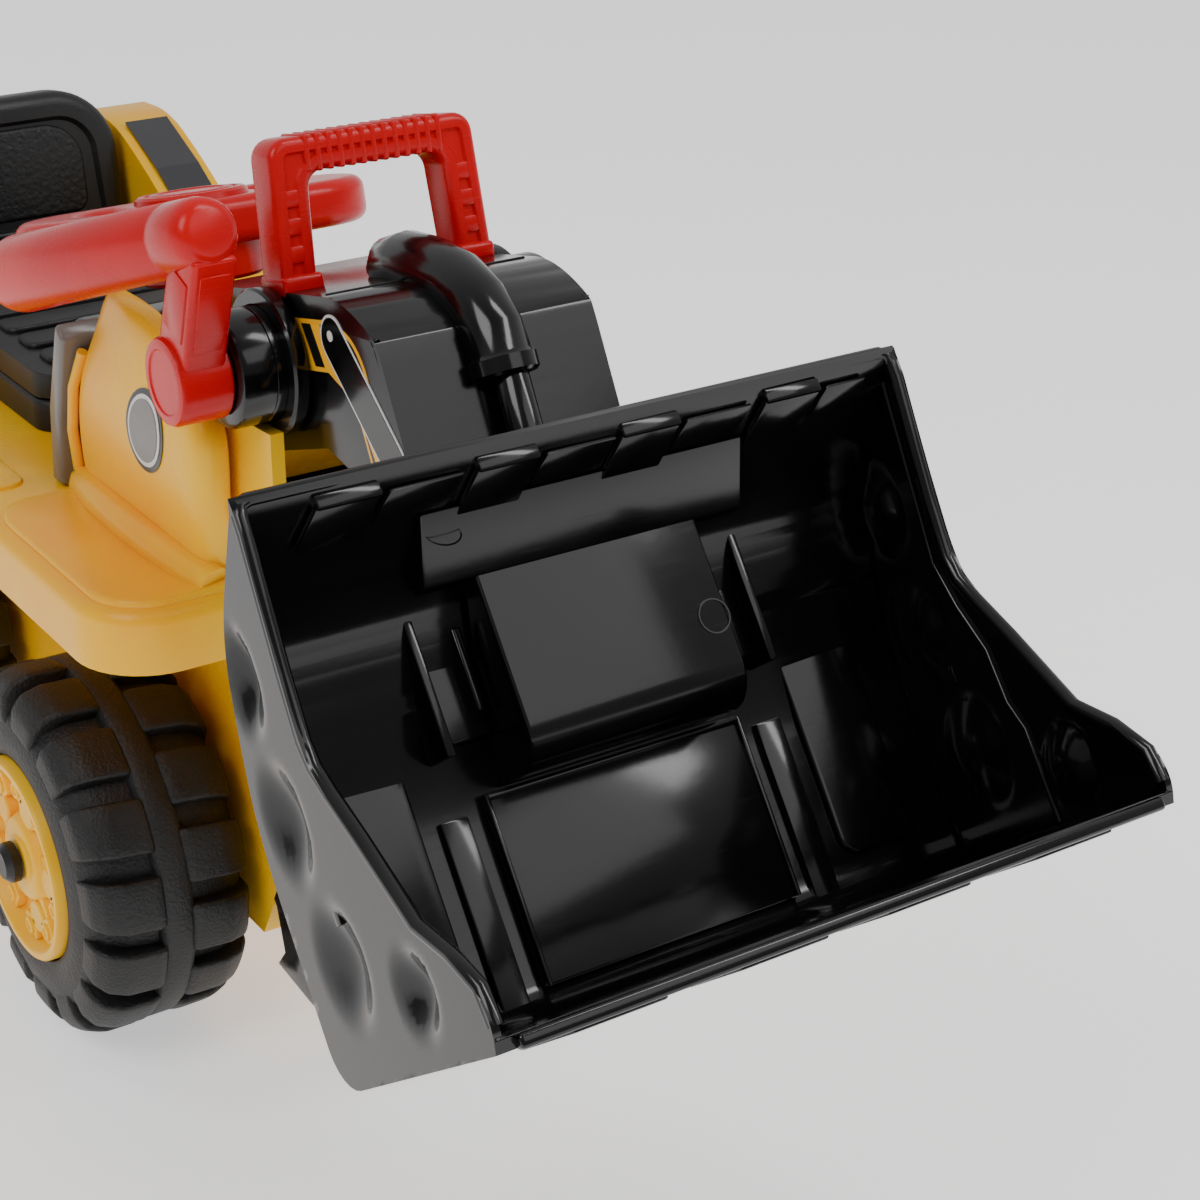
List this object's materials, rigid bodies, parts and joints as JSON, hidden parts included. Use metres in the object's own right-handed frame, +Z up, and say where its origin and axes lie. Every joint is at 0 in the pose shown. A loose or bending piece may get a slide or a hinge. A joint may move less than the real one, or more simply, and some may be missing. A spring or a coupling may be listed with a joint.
{
  "type": "ride-on toy loader",
  "caption": "Foot-powered ride-on toy loader with a lifting front boom, tilting bucket, side lever, carry handle, steering wheel, lidded seat and plastic wheels.",
  "frame": {"origin": "on the floor, under the middle of the whole vehicle's bounding box", "axes": "-Y is the front of the vehicle, where the bucket is; +Z is up; the driver's right side is -X"},
  "size_m": [0.29, 0.8601, 0.4591],
  "materials": {
    "yellow_body": "moulded polypropylene, glossy",
    "wheel_yellow": "moulded polypropylene, satin gloss",
    "black_gloss": "moulded polypropylene, high gloss",
    "black_satin": "moulded polypropylene, fine grain",
    "tyre_black": "blow-moulded polyethylene, spark-grained",
    "red_gloss": "moulded polypropylene, glossy",
    "grey_panel": "moulded polypropylene, glossy",
    "dark_panel": "printed vinyl sheet, glossy",
    "steel": "drawn and zinc plated",
    "lamp_red": "moulded polystyrene, clear gloss"
  },
  "bodies": {
    "chassis": {"lower_chassis": "yellow_body", "upper_body": "yellow_body", "boom_cradle": "yellow_body", "cowl_left": "yellow_body", "cowl_right": "yellow_body", "rear_cover": "yellow_body", "front_skid": "black_gloss", "front_panel": "black_gloss", "pivot_ring_left": "black_gloss", "pivot_ring_right": "black_gloss", "dash_panel": "black_gloss", "rear_grille": "black_gloss", "seat_base": "black_satin", "backrest": "black_satin", "storage_bin": "black_satin", "column_bush": "black_satin", "hinge_brackets": "black_satin", "trim_left": "grey_panel", "trim_right": "grey_panel", "side_panel_left": "dark_panel", "side_panel_right": "dark_panel", "axle_front": "steel", "axle_rear": "steel", "axle_washers_front": "steel", "axle_washers_rear": "steel", "seat_hinge_pin": "steel", "axle_caps_front": "black_satin", "axle_caps_rear": "black_satin", "tail_lamps": "lamp_red"},
    "boom": {"boom_shell": "black_gloss", "boom_cover": "black_gloss", "pivot_barrel_left": "black_gloss", "pivot_barrel_right": "black_gloss", "carry_handle": "red_gloss", "handle_screws": "steel", "cylinder_sleeve": "black_gloss", "cylinder_rod": "black_gloss", "bucket_pin": "steel"},
    "lever": {"side_lever": "red_gloss", "lever_shaft": "steel", "bucket_crank": "black_satin"},
    "link": {"link_rod": "black_satin"},
    "bucket": {"bucket_shell": "black_gloss", "bucket_housing": "black_gloss", "bucket_plate": "black_gloss"},
    "steering": {"steering_wheel": "red_gloss", "steering_shaft": "steel", "shaft_clip": "steel", "horn_spring": "steel"},
    "horn": {"horn_button": "red_gloss"},
    "seat": {"seat_lid": "black_satin"},
    "wheel_front_right": {"tyre_front_right": "tyre_black", "hub_front_right": "wheel_yellow"},
    "wheel_front_left": {"tyre_front_left": "tyre_black", "hub_front_left": "wheel_yellow"},
    "wheel_rear_right": {"tyre_rear_right": "tyre_black", "hub_rear_right": "wheel_yellow"},
    "wheel_rear_left": {"tyre_rear_left": "tyre_black", "hub_rear_left": "wheel_yellow"}
  },
  "joints": [
    {"name": "boom_lift", "type": "hinge", "parent": "chassis", "child": "boom", "pos_m": [0, -0.107, 0.37], "axis": [-1, 0, 0], "range_deg": [-36, 6]},
    {"name": "bucket_tilt", "type": "hinge", "parent": "boom", "child": "bucket", "pos_m": [0, -0.277, 0.275], "axis": [1, 0, 0], "range_deg": [-5, 60]},
    {"name": "lever_turn", "type": "hinge", "parent": "boom", "child": "lever", "pos_m": [0, -0.107, 0.37], "axis": [1, 0, 0], "range_deg": [-5, 60]},
    {"name": "link_swing", "type": "hinge", "parent": "lever", "child": "link", "pos_m": [0, -0.10234, 0.38739], "axis": [1, 0, 0], "range_deg": [-60, 5]},
    {"name": "steering_turn", "type": "hinge", "parent": "chassis", "child": "steering", "pos_m": [0, 0.078, 0.386], "axis": [0, 0.225, 0.9744], "range_deg": [-45, 45]},
    {"name": "horn_press", "type": "slide", "parent": "steering", "child": "horn", "axis": [0, -0.225, -0.9744], "range_m": [0, 0.003], "stiffness_N_per_m": 500, "springref_m": -0.001, "deforming": ["horn_spring"]},
    {"name": "seat_open", "type": "hinge", "parent": "chassis", "child": "seat", "pos_m": [0, 0.332, 0.2931], "axis": [-1, 0, 0], "range_deg": [0, 70]},
    {"name": "wheel_front_right_spin", "type": "hinge", "parent": "chassis", "child": "wheel_front_right", "pos_m": [0, 0.036, 0.0925], "axis": [1, 0, 0], "continuous": true},
    {"name": "wheel_front_left_spin", "type": "hinge", "parent": "chassis", "child": "wheel_front_left", "pos_m": [0, 0.036, 0.0925], "axis": [1, 0, 0], "continuous": true},
    {"name": "wheel_rear_right_spin", "type": "hinge", "parent": "chassis", "child": "wheel_rear_right", "pos_m": [0, 0.325, 0.0925], "axis": [1, 0, 0], "continuous": true},
    {"name": "wheel_rear_left_spin", "type": "hinge", "parent": "chassis", "child": "wheel_rear_left", "pos_m": [0, 0.325, 0.0925], "axis": [1, 0, 0], "continuous": true}
  ],
  "couplings": [
    {"joint": "lever_turn", "follows": "bucket_tilt", "ratio": 1},
    {"joint": "link_swing", "follows": "bucket_tilt", "ratio": -1}
  ]
}
